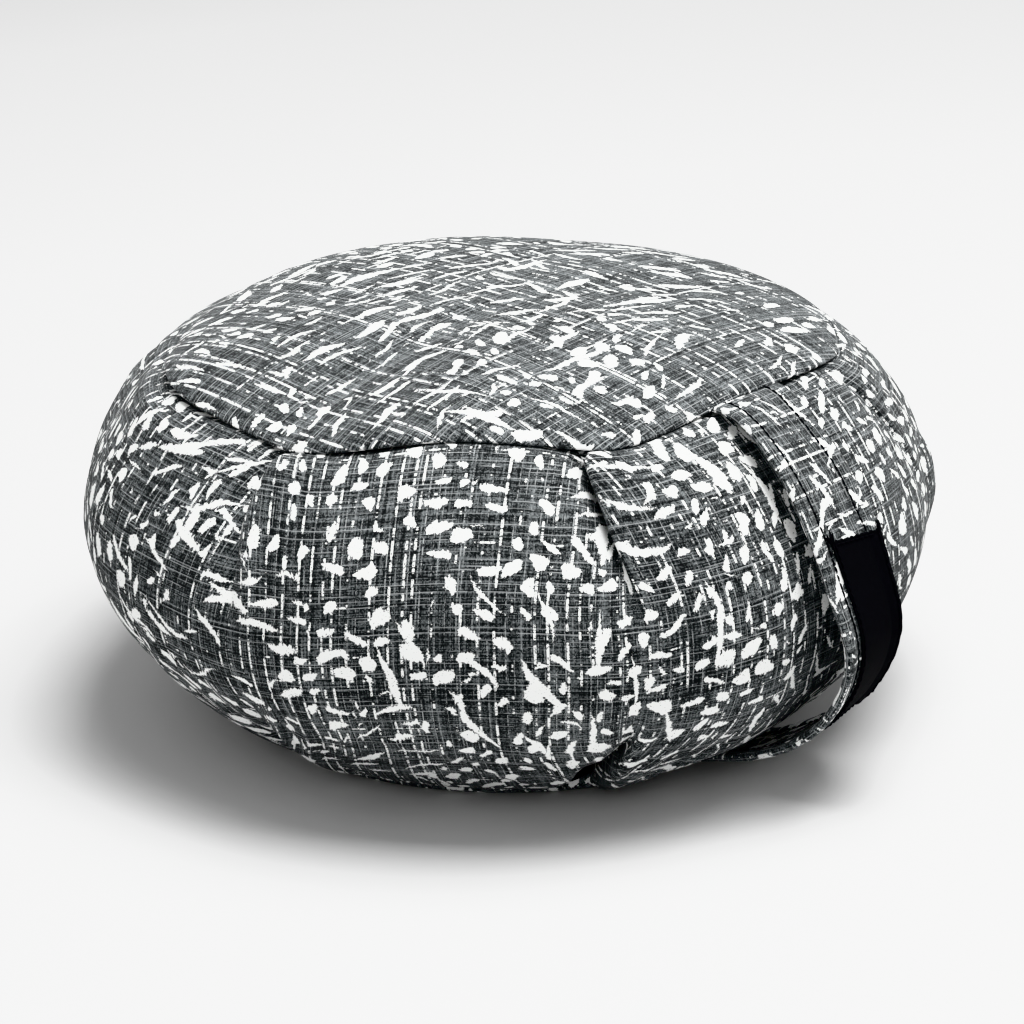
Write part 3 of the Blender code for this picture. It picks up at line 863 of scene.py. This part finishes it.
def printed_marks(g, place, own_x, own_y, crossing, missing, seed):
    """The print: rough dashes in patches, and broken lines that follow single threads."""
    # Its edges follow the weave: each thread takes the ink a little further or less.
    wander = g.vector("ADD", g.wander(place, *SLOW_WANDER), g.wander(place, *FAST_WANDER))
    jump = g.joined(g.times(own_y[1], THREAD_JUMP[0]), g.times(own_x[1], THREAD_JUMP[1]))
    ragged = g.vector("ADD", g.vector("ADD", place, jump), wander)
    rough = g.span(crossing[2], -EDGE_ROUGH / 2, EDGE_ROUGH / 2)
    rough = g.vary(rough, g.noise(place, 0.6), INK_ROUGH)

    turned, own = patches(g, ragged, PATCH_SIZE)
    grains = dashes(g, turned, own, rough, GRAINS, missing, seed)
    grains = g.times(grains, g.math("LESS_THAN", own[1], GRAIN_SHARE))
    slim = dashes(g, turned, own, rough, SLIM, missing, seed)
    slim = g.times(slim, g.math("GREATER_THAN", own[1], GRAIN_SHARE))
    turned, own = patches(g, g.vector("ADD", ragged, REED_PLACE), REED_PATCH)
    reeds = dashes(g, turned, own, rough, REEDS, REEDS_MISSING, seed)
    reeds = g.times(reeds, g.math("LESS_THAN", own[1], REED_SHARE))

    x, y, _ = g.split(place)
    inked = bright_threads(g, x, y, INKED_WARPS, seed)
    inked = g.most(inked, bright_threads(g, y, x, INKED_WEFTS, seed))
    inked = g.times(g.range(inked, 0.15, 0.40), g.range(crossing[2], 0.08, 0.30))
    marks = g.most(g.most(g.most(grains, slim), reeds), inked)
    bare = g.math("MULTIPLY_ADD", crossing[1], 0.22, g.noise(place, 1.1))
    return g.times(marks, g.range(bare, 0.36, 0.44))


def printed_cotton(name, turn, missing, seed):
    """Slub cotton with lighter threads both ways, and a rough print of broken dashes."""
    g = Graph(name)
    place = g.turned(g.cloth(), math.radians(turn))
    place = g.vector("ADD", place, (517.0 * seed, 293.0 * seed, 0))
    x, y, _ = g.split(place)
    own_x, parts_x = thread_set(g, x, y, 3.0 + seed)
    own_y, parts_y = thread_set(g, y, x, 11.0 + seed)
    count_x, count_y = g.times(x, 1 / THREAD_PITCH), g.times(y, 1 / THREAD_PITCH)
    crossing = g.random(g.math("FLOOR", count_x), g.math("FLOOR", count_y), 23.0 + seed)

    tone = g.span(crossing[0], -CROSSING_TONE / 2, CROSSING_TONE / 2)
    for parts, weights in zip(zip(parts_x, parts_y), THREAD_TONES):
        for part, weight in zip(parts, weights):
            tone = g.vary(tone, part, weight)
    tone = g.math("ADD", tone, MEAN_TONE, clamp=True)
    ground = g.mix(g.math("POWER", tone, TONE_POWER), DARK, MIDDLE)
    wefts = bright_threads(g, y, x, WEFTS, seed)
    warps = bright_threads(g, x, y, WARPS, seed)
    warps = g.times(warps, g.range(crossing[1], 0.15, 0.55))
    ground = g.mix(g.most(g.times(wefts, WEFT_TONE), g.times(warps, WARP_TONE)), ground, LIGHT)
    marks = printed_marks(g, place, own_x, own_y, crossing, missing, seed)

    rounds = g.math("ADD", g.math("PINGPONG", count_y, 0.5), g.times(crossing[0], 0.5))
    height = g.math("ADD", g.math("PINGPONG", count_x, 0.5), rounds)
    height = g.math("MULTIPLY_ADD", g.math("ADD", wefts, warps), 0.5, height)
    g.bump(0.4, 0.0003, height)
    g.look({
        "Base Color": g.mix(marks, ground, WHITE),
        "Roughness": g.span(marks, 0.92, 0.82),
        "Sheen Weight": 0.05,
        "Sheen Roughness": 0.5,
        "Specular IOR Level": 0.2,
    })
    return g.material


def woven_tape(name):
    """Black tape with a fine cross rib, a little lighter on the tops of its ribs, more so in random
    patches.
    """
    g = Graph(name)
    place = g.cloth()
    x, y, _ = g.split(place)
    rib = g.times(x, TAPE_RIBS[0])
    row = g.math("MULTIPLY_ADD", y, TAPE_RIBS[1], g.times(g.math("FLOOR", rib), 0.5))
    weave = g.math("ADD", g.off(rib), g.times(g.off(row), 0.8))
    # Random patches where the rib tops are lighter
    patchy = g.range(g.noise(place, 0.35, 3.0), 0.35, 0.75)
    # Lighter on the tops of the ribs, where the bump stands highest, more so in those patches
    fleck = g.times(g.range(weave, 0.9, 0.2), g.span(patchy, 0.3, 0.8))
    g.bump(0.5, 0.00025, g.times(weave, -1.0))
    colour = g.mix(fleck, BLACK, TAPE_RIB_TOP)
    g.look({"Base Color": colour, "Roughness": 0.8, "Specular IOR Level": 0.08})
    return g.material


def sewing_thread(name):
    """Black sewing thread with a fine fleck."""
    g = Graph(name)
    fleck = g.noise(g.node("TexCoord").outputs["Object"], 2600.0)
    lighter = tuple(2.2 * c for c in BLACK[:3]) + (1.0,)
    g.bump(0.4, 0.0002, fleck)
    colour = g.mix(g.range(fleck, 0.35, 0.7), BLACK, lighter)
    g.look({"Base Color": colour, "Roughness": 0.85, "Specular IOR Level": 0.1})
    return g.material


# ---- Pieces


def cotton_piece(name, points, place_at):
    return grid_object(name, points, place_at, printed_cotton(*COTTONS[name]))


def make_cover():
    """The three panels of the cover."""
    top = cover_surface(crown_rings(), no_creases)
    rings = band_rings()
    band = cover_surface(rings, band_creases)
    bottom = cover_surface(bottom_rings(), no_creases)
    bottom[..., 2] = np.maximum(bottom[..., 2], 0)
    panels = (
        cotton_piece("top_panel", top, panel_places(top)),
        cotton_piece("side_band", band, band_places(band, rings)),
        cotton_piece("bottom_panel", bottom, panel_places(bottom)),
    )
    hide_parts("cushion")
    for panel in panels:
        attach(panel, "root")


def strap_half(across, along, total):
    """Half of the strap's thickness this far across it and along it."""
    rows = table("across half", smooth_path(STRAP_ROWS, HALF_PARTS))
    half = np.interp(np.abs(across), rows["across"], np.maximum(rows["half"], 0))
    flat = np.minimum(half, STRAP_ROWS[0][1])
    full = ease(0, STRAP_FULL, along) * ease(0, STRAP_FULL, total - along)
    turn = 2 * np.pi * along / PUCKER_PITCH + np.where(across > 0, 0.0, PUCKER_SHIFT)
    pucker = 1 + PUCKER_SHARE * (np.sin(turn) + np.sin(PUCKER_SECOND * turn + 1)) / 2
    return flat + (half - flat) * full * pucker


class Strap:
    """The strap's surface: a place on it from how far along, across and outward it lies."""

    def __init__(self):
        path = evenly(smooth_path(ROUTE_ROWS, ROUTE_PARTS), STRAP_STEP)
        self.place, self.twist = path[:, :2], path[:, 2]
        self.out = outward_normals(path)
        self.along = lengths(self.place)
        self.total = self.along[-1]

    def at(self, along, across, lift, side=1.0):
        """The point this far above the outer face, or below the inner one where side is -1."""
        along, across, lift = np.broadcast_arrays(along, across, lift)
        x, z, out_x, out_z, twist = (
            np.interp(along, self.along, values)
            for values in (*self.place.T, *self.out.T, self.twist)
        )
        half = strap_half(across, along, self.total)
        off = side * (half + lift) - twist * across / (STRAP_WIDTH / 2)
        gathered = 1 - STRAP_PINCH * (1 - ease(PINCH_START, PINCH_END, along))
        return np.stack([x + out_x * off, across * gathered, z + out_z * off], axis=-1)


def make_handle(strap):
    """The carry handle: a folded strap with full edges."""
    half = smooth_path(STRAP_ROWS, STRAP_PARTS)[:, 0]
    across = np.concatenate([-half[:0:-1], half])
    outer = strap.at(strap.along[:, None], across[None, :], 0.0)
    inner = strap.at(strap.along[:, None], across[None, -2:0:-1], 0.0, side=-1.0)
    points = np.concatenate([outer, inner], axis=1)
    closed = np.concatenate([points, points[:, :1]], axis=1)
    ring = lengths(closed[len(points) // 2])

    def place_at(row, column, quad):
        return np.stack([ring[column], strap.along[row]], axis=-1)

    handle = cotton_piece("carry_handle", points[:, ::-1], place_at)
    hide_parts("handle")
    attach(handle, "root")
    return handle


def tube(points, radius, sides=6):
    """Vertices and faces of a round tube along the points, its ends drawn in."""
    points = np.array(points, float)
    way = unit(np.gradient(points, axis=0))
    first = unit(np.cross(way, TUBE_SIDEWAYS))
    second = np.cross(way, first)
    turn = 2 * np.pi * np.arange(sides) / sides
    ends = np.sin(np.linspace(TUBE_END, np.pi - TUBE_END, len(points))) ** TUBE_ROUND
    ring = first[:, None] * np.cos(turn)[:, None] + second[:, None] * np.sin(turn)[:, None]
    vertices = points[:, None] + ring * (radius * ends)[:, None, None]
    index = np.arange(len(points) * sides).reshape(len(points), sides)
    after = np.roll(index, -1, axis=1)
    quads = np.stack([index[:-1], after[:-1], after[1:], index[1:]], axis=2).reshape(-1, 4)
    return vertices.reshape(-1, 3), quads.tolist() + [index[0, ::-1].tolist(), index[-1].tolist()]


def joined_tubes(name, paths, radius, material):
    """One object of a thread along each path."""
    vertices, faces = [], []
    for path in paths:
        made, quads = tube(path, radius)
        start = sum(len(v) for v in vertices)
        vertices.append(made)
        faces += [[i + start for i in face] for face in quads]
    made = mesh_object(name, np.vstack(vertices), faces, material)
    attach(made, "root")
    return made


def stitch_bow(share):
    """How far a stitch's thread stands off the cloth along its length, from 0 to 1."""
    return THREAD_RADIUS * (BOW_HEIGHT * np.sin(np.pi * share) ** 0.5 - BOW_SINK)


def stitch_row(strap, start, end, across, lift, side=1.0):
    """Stitches along the strap: each a short thread that bows up and dips in at its ends."""
    paths = []
    step = STITCH_LENGTH + STITCH_GAP
    share = np.linspace(0, 1, STITCH_POINTS)
    rise = lift + stitch_bow(share)
    for first in np.arange(start, end - step, step):
        along = first + share * STITCH_LENGTH
        wobble = STITCH_WOBBLE * math.sin(WOBBLE_TURN * first)
        paths.append(strap.at(along, across + wobble, rise, side))
    return paths


def make_stitches(strap):
    """The topstitching of the strap, on both of its faces."""
    paths = []
    for side in (1.0, -1.0):
        for across in (-STITCH_LINE, STITCH_LINE):
            paths += stitch_row(strap, STITCH_START, strap.total - STITCH_START, across, 0.0, side)
    made = joined_tubes("strap_stitches", paths, THREAD_RADIUS, sewing_thread("thread"))
    return made


def make_strap(strap):
    """The strap, a sheet of cloth cut at twice its width and folded double, and its stitches."""
    handle = make_handle(strap)
    stitches = make_stitches(strap)


def skewed(across):
    """How much further down the strap the patch lies at this place across it."""
    return LABEL_SKEW * (across - LABEL_LEFT) / (LABEL_RIGHT - LABEL_LEFT)


def patch_points(strap, across, down):
    """The patch's outer face, then its inner one, at these places across it and down it."""
    waves = np.sin(FRAY_WAVES[0] * across) + np.sin(FRAY_WAVES[1] * across + 1)
    frayed = LABEL_FRAY * waves * (1 - ease(0, FRAY_DEPTH, down))
    wave = LABEL_WAVE * np.sin(LABEL_WAVES * down + 1) * np.sign(across)
    along = LABEL_START + skewed(across) + down + frayed
    edge = np.minimum.reduce([across - LABEL_LEFT, LABEL_RIGHT - across, down, LABEL_LENGTH - down])
    sewn = np.exp(-(((edge - LABEL_INSET) / SEWN_WIDTH) ** 2))
    lift = LABEL_THICKNESS + LABEL_CURL * np.exp(-edge / CURL_WIDTH) - SEWN_DEPTH * sewn
    faces = [strap.at(along, across + wave, lift - below) for below in (0.0, LABEL_THICKNESS)]
    return np.concatenate(faces).reshape(-1, 3)


def patch_seam(strap):
    """The stitches round the patch, near its edges."""
    left, right = LABEL_LEFT + LABEL_INSET, LABEL_RIGHT - LABEL_INSET
    first, last = LABEL_START + LABEL_INSET, LABEL_START + LABEL_LENGTH - LABEL_INSET
    share = np.linspace(0, 1, STITCH_POINTS)
    rise = LABEL_THICKNESS + stitch_bow(share)
    paths = []
    for across in (left, right):
        shift = skewed(across)
        paths += stitch_row(strap, first + shift, last + shift, across, LABEL_THICKNESS)
    for along in (first, last):
        for start in np.arange(left, right - STITCH_LENGTH, STITCH_LENGTH + STITCH_GAP):
            across = start + share * STITCH_LENGTH
            paths.append(strap.at(along + skewed(across), across, rise))
    return paths


def loose_ends(strap):
    """The frayed threads at the patch's top corners."""
    draw = np.random.default_rng(FRAY_SEED)
    share = np.linspace(0, 1, FRAY_POINTS)
    paths = []
    for corner in (LABEL_LEFT, LABEL_RIGHT):
        start = LABEL_START + skewed(corner) + FRAY_ROOT
        for _ in range(FRAY_COUNT):
            foot = corner + draw.uniform(-FRAY_FOOT, FRAY_FOOT)
            lean = draw.uniform(*FRAY_LEAN) * (1 if corner > 0 else -1)
            long = draw.uniform(*FRAY_LONG)
            lift = LABEL_THICKNESS + share * draw.uniform(0.0, FRAY_LIFT)
            paths.append(strap.at(start - long * share, foot + lean * share, lift))
    return paths


def make_label(strap):
    """The woven patch on the strap, with its sewing thread and its frayed ends."""
    columns = np.arange(LABEL_LEFT, LABEL_RIGHT + LABEL_STEP / 2, LABEL_STEP)
    rows = np.arange(0.0, LABEL_LENGTH + LABEL_STEP / 2, LABEL_STEP)
    across, down = np.meshgrid(columns, rows)
    count = across.size
    index = np.arange(count).reshape(across.shape)
    quads = np.stack([index[:-1, :-1], index[1:, :-1], index[1:, 1:], index[:-1, 1:]], axis=2)
    quads = quads.reshape(-1, 4)
    rim = np.concatenate([index[0, :-1], index[:-1, -1], index[-1, :0:-1], index[:0:-1, 0]])
    after = np.roll(rim, -1)
    walls = np.stack([rim, after, after + count, rim + count], axis=1)
    faces = np.concatenate([quads, quads[:, ::-1] + count, walls])
    flat = np.stack([across, down], axis=-1).reshape(-1, 2)
    corners = np.concatenate([flat, flat])[faces]
    points = patch_points(strap, across, down)
    patch = mesh_object("woven_patch", points, faces.tolist(), woven_tape("patch_weave"), corners)
    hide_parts("label")
    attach(patch, "root")
    paths = patch_seam(strap) + loose_ends(strap)
    dyed = sewing_thread("patch_thread")
    thread = joined_tubes("patch_thread", paths, PATCH_THREAD_RADIUS, dyed)


# ---- The studio

VIEW_AZIMUTH = 41.4  # the photograph's viewing angle, in degrees
VIEW_ELEVATION = 21.0
VIEW_ROLL = 1.5
VIEW_DISTANCE = 2.0
VIEW_TARGET = (0.0, 0.0, 0.09)
VIEW_LENS = 148.4
FLOOR_REACH = 8.0
FLOOR_COLOUR = (0.52, 0.52, 0.52, 1.0)
SKY_STRENGTH = 0.72
LIGHT_TARGET = (0.0, 0.0, 0.1)
LIGHTS = (  # name, place, size, power
    ("key", (0.35, 0.25, 1.9), 1.3, 82),
    ("fill", (0.9, -1.5, 0.9), 1.2, 5),
)


def make_camera():
    """The photograph's view of the cushion."""
    azimuth, elevation = math.radians(VIEW_AZIMUTH), math.radians(VIEW_ELEVATION)
    back = Vector((
        math.sin(azimuth) * math.cos(elevation),
        -math.cos(azimuth) * math.cos(elevation),
        math.sin(elevation),
    ))
    camera = bpy.data.objects.new("camera", bpy.data.cameras.new("camera"))
    bpy.context.scene.collection.objects.link(camera)
    camera.data.lens = VIEW_LENS
    place = Matrix.Translation(Vector(VIEW_TARGET) + back * VIEW_DISTANCE)
    turned = (-back).to_track_quat("-Z", "Y").to_matrix().to_4x4()
    camera.matrix_world = place @ turned @ Matrix.Rotation(math.radians(-VIEW_ROLL), 4, "Z")
    bpy.context.scene.camera = camera


def make_light(name, place, size, power):
    """A soft square light that faces the cushion."""
    light = bpy.data.objects.new(name, bpy.data.lights.new(name, "AREA"))
    light.data.size = size
    light.data.energy = power
    light.location = place
    toward = Vector(LIGHT_TARGET) - Vector(place)
    light.rotation_euler = toward.to_track_quat("-Z", "Y").to_euler()
    bpy.context.scene.collection.objects.link(light)


def make_studio():
    """A pale floor, an even sky and soft lights."""
    g = Graph("pale_floor")
    g.look({"Base Color": FLOOR_COLOUR, "Roughness": 0.9})
    corners = np.array([(-1, -1, 0), (1, -1, 0), (1, 1, 0), (-1, 1, 0)]) * FLOOR_REACH
    floor = mesh_object("floor", corners, [(0, 1, 2, 3)], g.material)
    world = bpy.data.worlds.new("studio")
    bpy.context.scene.world = world
    world.use_nodes = True
    sky = world.node_tree.nodes["Background"].inputs
    sky["Color"].default_value = (1, 1, 1, 1)
    sky["Strength"].default_value = SKY_STRENGTH
    for row in LIGHTS:
        make_light(*row)
    bpy.context.scene.view_settings.view_transform = "Khronos PBR Neutral"


make_camera()
make_studio()
make_cover()
carry_strap = Strap()
make_strap(carry_strap)
make_label(carry_strap)
